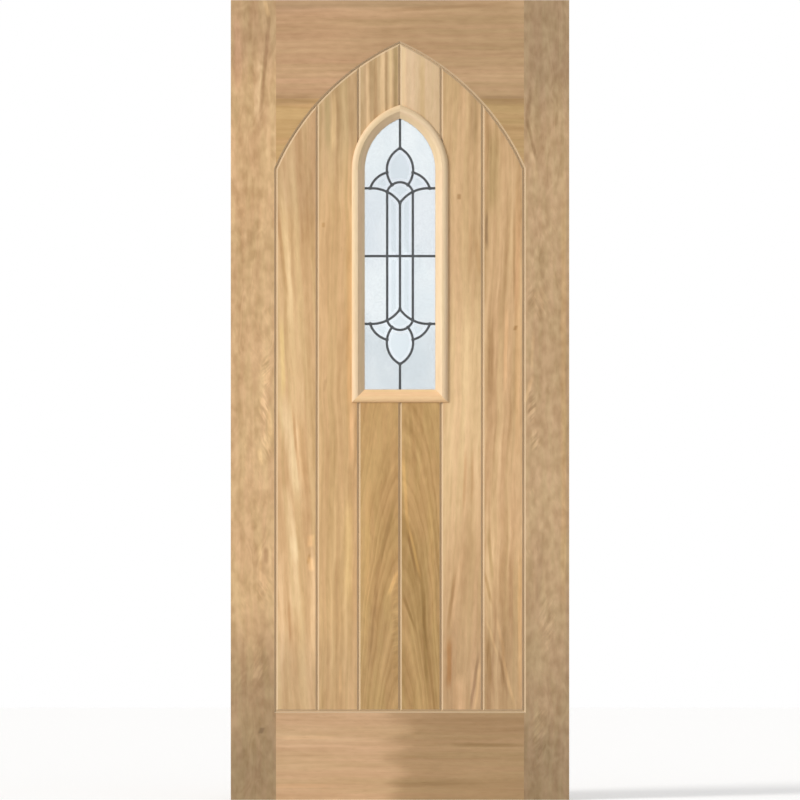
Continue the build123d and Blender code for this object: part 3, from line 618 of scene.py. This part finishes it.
boardLooks = {
    "board_1": {
        "pale": (232, 196, 147), "deep": (198, 158, 110), "heart": (-250, 130), "seed": 21.0,
        "streaks": 0.8, "slant": -0.05,
        "fades": [
            (1640, 270, (0.9, 0.9, 0.93)),
            (200, 260, (0.84, 0.85, 0.88)),
        ],
        "marks": [
            (-282, 1360, 11, 260, -0.07, 1, (1.19, 1.25, 1.32)),
            (-292, 1357, 4.5, 150, -0.11, 0.9, (0.82, 0.74, 0.68)),
            (-272, 875, 13, 150, -0.14, 1, (1.22, 1.36, 1.5)),
            (-249, 854, 5.5, 110, -0.09, 1, (1.19, 1.23, 1.29)),
            (-257, 880, 3.5, 120, -0.09, 1, (0.85, 0.77, 0.71)),
            (-291, 1095, 5.5, 120, -0.03, 1, (1.14, 1.23, 1.09)),
            (-272, 690, 11, 110, -0.15, 1, (1.2, 1.32, 1.42)),
            (-262, 545, 12, 130, -0.04, 1, (1.2, 1.32, 1.42)),
            (-274, 440, 3.5, 70, -0.04, 1, (0.84, 0.76, 0.7)),
            (-240, 860, 10, 110, -0.06, 0.8, (0.86, 0.8, 0.72)),
            (-295, 450, 8, 220, 0, 0.9, (1.19, 1.25, 1.34)),
            (-216, 480, 7, 220, 0, 0.9, (1.2, 1.26, 1.34)),
            (-226, 597, 4, 16, 0.2, 1, (0.84, 0.78, 0.68)),
            (-221, 642, 8, 20, 0.1, 1, (1.26, 1.26, 1.23)),
            (-221, 584, 8, 22, -0.1, 1, (1.26, 1.26, 1.23)),
        ]},
    "board_2": {
        "pale": (226, 188, 138), "deep": (190, 151, 102), "heart": (-150, 150), "seed": 24.5,
        "streaks": 1.0,
        "fades": [
            (1860, 420, (0.86, 0.9, 0.95)),
            (200, 300, (0.9, 0.92, 0.95)),
        ],
        "marks": [
            (-164, 1683, 7, 90, 0, 1, (1.23, 1.26, 1.26)),
            (-179, 1680, 8, 90, 0, 0.9, (0.81, 0.84, 0.77)),
            (-125, 1160, 8, 330, 0, 0.8, (1.0, 0.92, 0.83)),
            (-190, 1424, 4.5, 8, 0, 1, (0.84, 0.77, 0.66)),
            (-186, 1026, 3.5, 20, 0.1, 0.6, (0.8, 0.78, 0.73)),
            (-120, 900, 7, 90, 0.03, 1, (1.23, 1.19, 1.23)),
            (-127, 620, 12, 160, 0, 1, (1.19, 1.23, 1.19)),
            (-160, 480, 7, 130, 0, 0.9, (0.84, 0.81, 0.77)),
            (-147, 300, 4, 50, 0, 0.9, (1.16, 1.16, 1.16)),
        ]},
    "board_3_lower": {
        "pale": (213, 174, 119), "deep": (177, 139, 88), "heart": (0, 25), "seed": 27.1,
        "streaks": 0.3, "lean": 0.1, "lines": 0.8, "bands": 0.6,
        "fades": [
            (200, 420, (0.9, 0.93, 0.96)),
        ],
        "marks": [
            (-36, 650, 5.5, 120, 0.25, 0.9, (0.77, 0.75, 0.69)),
            (-66, 440, 5.5, 150, 0.09, 0.9, (0.8, 0.77, 0.74)),
            (-82, 560, 7, 260, 0.02, 0.7, (1.14, 1.16, 1.11)),
            (-17, 538, 5.5, 36, 0.35, 1, (1.31, 1.31, 1.26)),
            (-24, 500, 12, 70, 0.2, 0.7, (1.14, 1.16, 1.19)),
        ],
        "patches": [(-12, 420, 11, 150, 2.2, 0.6)]},
    "board_3_upper": {
        "pale": (218, 187, 144), "deep": (176, 142, 101), "heart": (-60, 120), "seed": 29.6,
        "streaks": 0.6,
        "marks": [
            (-80, 1750, 4.5, 200, 0, 1, (1.23, 1.26, 1.27)),
            (-43, 1750, 7, 200, 0, 1, (1.23, 1.26, 1.27)),
            (-23, 1750, 4, 200, 0, 1, (1.17, 1.2, 1.17)),
            (-61, 1750, 5.5, 200, 0, 1, (0.83, 0.78, 0.71)),
            (-34, 1750, 3.5, 200, 0, 1, (0.77, 0.71, 0.66)),
            (-11, 1750, 5.5, 200, 0, 1, (0.73, 0.73, 0.65)),
        ]},
    "board_4_lower": {
        "pale": (212, 174, 119), "deep": (174, 137, 85), "heart": (0, 25), "seed": 32.3,
        "streaks": 0.3, "lean": 0.1, "lines": 0.8, "bands": 0.6,
        "fades": [
            (200, 560, (0.85, 0.85, 0.84)),
        ],
        "marks": [
            (36, 614, 3.5, 76, -0.23, 1, (1.36, 1.36, 1.32)),
            (31, 604, 3.5, 72, -0.22, 1, (0.75, 0.69, 0.62)),
            (22, 467, 4, 62, -0.33, 1, (0.75, 0.71, 0.62)),
            (13, 765, 4.5, 120, -0.06, 1, (1.27, 1.23, 1.16)),
            (30, 900, 5.5, 90, -0.1, 0.8, (0.81, 0.77, 0.71)),
            (62, 390, 5.5, 150, -0.04, 0.9, (0.77, 0.74, 0.64)),
            (80, 560, 7, 240, -0.03, 0.7, (1.14, 1.14, 1.11)),
        ]},
    "board_4_upper": {
        "pale": (236, 208, 170), "deep": (209, 178, 137), "heart": (60, 140), "seed": 35.8,
        "streaks": 0.6,
        "marks": [
            (10, 1750, 7, 200, 0, 0.9, (1.16, 1.16, 1.14)),
            (56, 1740, 7, 160, 0, 0.8, (0.91, 0.91, 0.77)),
        ]},
    "board_5": {
        "pale": (224, 189, 143), "deep": (190, 154, 110), "heart": (150, 140), "seed": 38.2,
        "streaks": 0.7, "slant": 0.03,
        "fades": [
            (940, 430, (1.2, 1.25, 1.3)),
            (140, 430, (0.86, 0.84, 0.86)),
            (1500, 260, (1.06, 1.07, 1.08)),
        ],
        "marks": [
            (146.5, 1494, 5, 9, 0, 1, (0.7, 0.64, 0.55)),
            (182, 1690, 11, 95, 0, 1, (0.81, 0.8, 0.77)),
            (174, 1359, 4, 80, 0, 0.7, (0.88, 0.82, 0.77)),
            (193, 1345, 5.5, 60, -0.08, 0.7, (0.9, 0.83, 0.76)),
            (160, 790, 4, 95, 0.03, 1, (0.87, 0.79, 0.73)),
            (178, 800, 4, 80, 0.02, 0.9, (0.89, 0.82, 0.77)),
            (127, 490, 5, 105, 0.13, 1, (0.8, 0.74, 0.66)),
            (140, 520, 5.5, 120, 0.15, 0.9, (1.16, 1.16, 1.19)),
            (185, 295, 4, 92, 0.15, 1, (0.68, 0.64, 0.62)),
            (192, 280, 3.5, 72, 0.12, 1, (1.18, 1.18, 1.15)),
            (121, 340, 7, 82, 0, 1, (0.84, 0.69, 0.53)),
            (147, 250, 16, 74, 0, 1, (1.2, 1.19, 1.23)),
        ]},
    "board_6": {
        "pale": (224, 188, 142), "deep": (186, 148, 104), "heart": (260, 150), "seed": 41.9,
        "streaks": 1.0, "slant": 0.02,
        "fades": [
            (740, 230, (1.12, 1.14, 1.18)),
            (150, 420, (0.84, 0.85, 0.87)),
        ],
        "marks": [
            (229, 1560, 12, 130, 0, 1, (0.81, 0.84, 0.75)),
            (215, 1412, 4, 58, 0, 1, (0.64, 0.62, 0.62)),
            (292, 1200, 8, 420, 0, 0.6, (1.12, 1.02, 0.96)),
            (283, 1350, 3.5, 150, 0, 1, (0.8, 0.75, 0.69)),
            (286, 1169, 5, 8, 0.3, 1, (0.7, 0.62, 0.5)),
            (224, 1095, 9, 130, 0, 0.9, (0.84, 0.82, 0.75)),
            (262, 1120, 4.5, 130, 0.02, 1, (1.23, 1.2, 1.2)),
            (224, 610, 4.5, 92, -0.06, 1, (0.77, 0.75, 0.66)),
            (220, 340, 7, 95, -0.05, 1, (0.76, 0.7, 0.6)),
            (218, 525, 4, 48, -0.22, 1, (0.78, 0.73, 0.64)),
            (254, 319, 3.5, 65, -0.21, 1, (0.82, 0.78, 0.73)),
            (228, 401, 3.5, 55, -0.34, 1, (1.16, 1.18, 1.16)),
            (266, 305, 4, 82, -0.23, 1, (1.21, 1.2, 1.18)),
            (250, 400, 4, 60, -0.2, 0.9, (1.15, 1.13, 1.11)),
            (297, 430, 5.5, 230, 0, 0.9, (1.23, 1.19, 1.09)),
        ]},
}
for looks, run in ((frameLooks, "up"), (railLooks, "level"), (boardLooks, "up")):
    for nodeName, look in looks.items():
        dress(nodeName, oakMaterial(nodeName + "_oak", look, run, grooves=True))

# Mouldings; the one along the bottom is the brightest and warmest in tone
beadLook = {
    "pale": (240, 215, 180), "deep": (225, 197, 157), "heart": (0, 150), "flecks": 0.1,
    "streaks": 0.5, "streakWidth": 6,
}
bottomBeadTones = {"pale": (252, 215, 168), "deep": (238, 199, 150)}
beadSeed = 50.0
beadSeedStep = 3.3
lightRise = 1.458  # rise of the light's arch, as a share of its half width
unitMargin = 15 * mm  # how far the glazed unit runs past the glass that shows
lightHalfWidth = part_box("outer_pane")[1][0] - unitMargin
for face in ("front", "back"):
    for part in ("bottom", "left", "right", "arch_left", "arch_right"):
        nodeName = face + "_bead_" + part
        beadSeed += beadSeedStep
        look = beadLook | {"seed": beadSeed}
        run = "up"
        if part == "bottom":
            look |= bottomBeadTones
            run = "level"
        if part.startswith("arch"):
            side = -1 if part.endswith("left") else 1
            rise = lightRise * lightHalfWidth
            radius = (lightHalfWidth ** 2 + rise ** 2) / (2 * lightHalfWidth)
            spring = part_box(nodeName)[0][2]
            run = (side, radius - lightHalfWidth, spring)
        dress(nodeName, oakMaterial(nodeName + "_oak", look, run))
print("oak done")


# Glass

glassLooks = {
    "clear": {
        "pale": (250, 253, 254), "deep": (248, 251, 252),
        "rough": 0.0, "grain": 30, "relief": 0.02, "speckle": 0.0,
    },
    "bevelled": {
        "pale": (248, 250, 254), "deep": (244, 247, 251),
        "rough": 0.02, "grain": 40, "relief": 0.04, "speckle": 0.0,
        "flat": (228, 235, 239),
        "flatFrom": (2.85 * mm, 3.15 * mm),  # in front of the leaf's middle, near the top of the slopes
        "fades": [(1490, 160, (0.91, 0.91, 0.92), 0.2)],
    },
    "textured": {
        "pale": (255, 255, 255), "deep": (247, 250, 252),
        "rough": 0.2, "grain": 170, "relief": 0.9, "speckle": 0.35,
        "fades": [
            (1430, 130, (0.93, 0.93, 0.95)),
            (1030, 190, (0.86, 0.87, 0.88)),
        ],
    },
}
glassPieces = {
    "clear": ("outer_pane", "inner_pane"),
    "bevelled": ("strip", "wing", "fan", "bud"),
    "textured": ("side_glass", "end_glass"),
}
glassCloudStretch = (9, 9, 6)
glassSpeckleTone = (0.8, 0.82, 0.84, 1)
glassReliefDepth = 0.5 * mm


def glassMaterial(name, look):
    material, tree, shader = newMaterial(name)
    setPlain(shader, {"Transmission Weight": 1.0, "IOR": 1.5, "Roughness": look["rough"]})
    position = put(tree, "TexCoord").outputs["Object"]
    cloud = remap(tree, noise(tree, position, glassCloudStretch, 2), 0.32, 0.68)
    colour = mix(tree, cloud, tint(*look["deep"]), tint(*look["pale"]))
    if "flat" in look:
        # The raised flat middle of a bevelled piece is a little darker than its ground slopes
        forward = calc(tree, "MULTIPLY", split(tree, position)[1], -1.0)
        colour = mix(tree, remap(tree, forward, *look["flatFrom"]), colour, tint(*look["flat"]))
    colour = addFadesAndFalloff(tree, position, colour, look.get("fades", []))
    stipple = noise(tree, position, (look["grain"],) * 3, 2, 0.6)
    speckle = remap(tree, stipple, 0.3, 0.7, 0.0, look["speckle"])
    colour = mix(tree, speckle, colour, glassSpeckleTone, "MULTIPLY")
    relief = {"Height": stipple, "Strength": look["relief"], "Distance": glassReliefDepth}
    tree.links.new(colour, shader.inputs["Base Color"])
    tree.links.new(put(tree, "Bump", relief).outputs[0], shader.inputs["Normal"])
    return material


for kind, starts in glassPieces.items():
    glass = glassMaterial(kind + "Glass", glassLooks[kind])
    for nodeName in cadNodes:
        if nodeName.startswith(starts):
            dress(nodeName, glass)
print("glass done")


# Lead, the other parts of the glazed unit, pins and dowels

plainLooks = {
    ("came_lattice", "border_came"): {
        "pale": (56, 60, 65), "deep": (34, 37, 42),
        "stretch": (160, 160, 90), "rough": 0.45, "metal": 0.6},
    ("spacer_bar_front", "spacer_bar_back"): {
        "pale": (196, 198, 200), "deep": (176, 178, 180),
        "stretch": (300, 300, 300), "rough": 0.4, "metal": 1.0},
    ("edge_sealant",): {
        "pale": (34, 34, 36), "deep": (22, 22, 24),
        "stretch": (90, 90, 90), "rough": 0.6, "metal": 0.0},
    ("glazing_tape_front", "glazing_tape_back"): {
        "pale": (206, 202, 192), "deep": (190, 186, 176),
        "stretch": (200, 200, 200), "rough": 0.75, "metal": 0.0},
    ("setting_blocks",): {
        "pale": (60, 88, 120), "deep": (48, 74, 104),
        "stretch": (120, 120, 120), "rough": 0.5, "metal": 0.0},
    ("bead_pins",): {
        "pale": (168, 166, 160), "deep": (140, 138, 132),
        "stretch": (400, 400, 60), "rough": 0.35, "metal": 1.0},
    ("head_dowels", "spandrel_dowels", "bottom_rail_dowels", "spandrel_splines"): {
        "pale": (220, 188, 148), "deep": (196, 160, 118),
        "stretch": (20, 300, 300), "rough": 0.55, "metal": 0.0},
}
patina = {"band": (0.3, 0.7), "roughSwing": 0.08, "relief": {"Strength": 0.3, "Distance": 0.3 * mm}}


def plainMaterial(name, look):
    # A fine even finish with a little drift in tone
    material, tree, shader = newMaterial(name)
    position = put(tree, "TexCoord").outputs["Object"]
    drift = noise(tree, position, look["stretch"], 3, 0.6)
    colour = mix(tree, remap(tree, drift, *patina["band"]), tint(*look["deep"]), tint(*look["pale"]))
    smoothest = look["rough"] - patina["roughSwing"]
    rough = remap(tree, drift, *patina["band"], smoothest, look["rough"] + patina["roughSwing"])
    bump = put(tree, "Bump", {"Height": drift, **patina["relief"]}).outputs[0]
    tree.links.new(colour, shader.inputs["Base Color"])
    tree.links.new(rough, shader.inputs["Roughness"])
    tree.links.new(bump, shader.inputs["Normal"])
    setPlain(shader, {"Metallic": look["metal"]})
    return material


for nodeNames, look in plainLooks.items():
    finish = plainMaterial(nodeNames[0] + "_finish", look)
    for nodeName in nodeNames:
        dress(nodeName, finish)
print("lead and inner parts done")


# Studio

studio = {
    "floorReach": 9.0,
    "floorColour": (0.9, 0.9, 0.9, 1),
    "floorGlow": 0.3,
    "skyStrength": 0.425,
    "sunStrength": 2.32,
    "sunColour": (1.0, 0.97, 0.93),
    "sunWidth": 20,  # degrees; the wider it is, the softer the shadows
    "sunHeight": 22,
    "sunSide": -52,  # from the left
    "cameraDistance": 30.0,
    "cameraReach": 100,
    "sensorWidth": 36,
}


def addObject(name, data):
    item = bpy.data.objects.new(name, data)
    bpy.context.collection.objects.link(item)
    return item


def makeFloor():
    reach = studio["floorReach"]
    corners = [(-reach, -reach, 0), (reach, -reach, 0), (reach, reach, 0), (-reach, reach, 0)]
    mesh = bpy.data.meshes.new("studioFloor")
    mesh.from_pydata(corners, [], [(0, 1, 2, 3)])
    floor = addObject("studioFloor", mesh)
    material, tree, shader = newMaterial("studioPaper")
    setPlain(shader, {"Base Color": studio["floorColour"], "Roughness": 0.8, "Emission Color": (1, 1, 1, 1)})
    path = put(tree, "LightPath").outputs
    seen = calc(tree, "MAXIMUM", path["Is Camera Ray"], path["Is Transmission Ray"])
    glow = calc(tree, "MULTIPLY", seen, studio["floorGlow"])
    tree.links.new(glow, shader.inputs["Emission Strength"])
    mesh.materials.append(material)


def makeWorld():
    # The sky lights the door softly, but is seen as white, also in the glass and through it
    world = bpy.data.worlds.new("studioAir")
    world.use_nodes = True
    tree = world.node_tree
    air = tree.nodes["Background"]
    path = put(tree, "LightPath").outputs
    seen = calc(tree, "MAXIMUM", path["Is Camera Ray"], path["Is Glossy Ray"])
    seen = calc(tree, "MAXIMUM", seen, path["Is Transmission Ray"])
    strength = remap(tree, seen, 0.0, 1.0, studio["skyStrength"], 1.0, smooth=False)
    air.inputs["Color"].default_value = (1, 1, 1, 1)
    tree.links.new(strength, air.inputs["Strength"])
    bpy.context.scene.world = world


def makeSun():
    lamp = bpy.data.lights.new("windowLight", "SUN")
    lamp.energy = studio["sunStrength"]
    lamp.angle = math.radians(studio["sunWidth"])
    lamp.color = studio["sunColour"]
    sun = addObject("windowLight", lamp)
    sun.rotation_euler = (math.radians(90 - studio["sunHeight"]), 0, math.radians(studio["sunSide"]))


def makeCamera():
    # Straight at the front from afar; the leaf fills the picture's height
    low, high = cadBox
    lens = bpy.data.cameras.new("frontView")
    lens.sensor_width = studio["sensorWidth"]
    lens.sensor_fit = "HORIZONTAL"
    lens.lens = lens.sensor_width * studio["cameraDistance"] / (high[2] - low[2])
    lens.clip_end = studio["cameraReach"]
    camera = addObject("frontView", lens)
    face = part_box("left_stile")[0][1]
    camera.location = (0, face - studio["cameraDistance"], (low[2] + high[2]) / 2)
    camera.rotation_euler = (math.radians(90), 0, 0)
    bpy.context.scene.camera = camera


makeFloor()
makeWorld()
makeSun()
makeCamera()
bpy.context.scene.view_settings.view_transform = "Standard"
print("studio done")
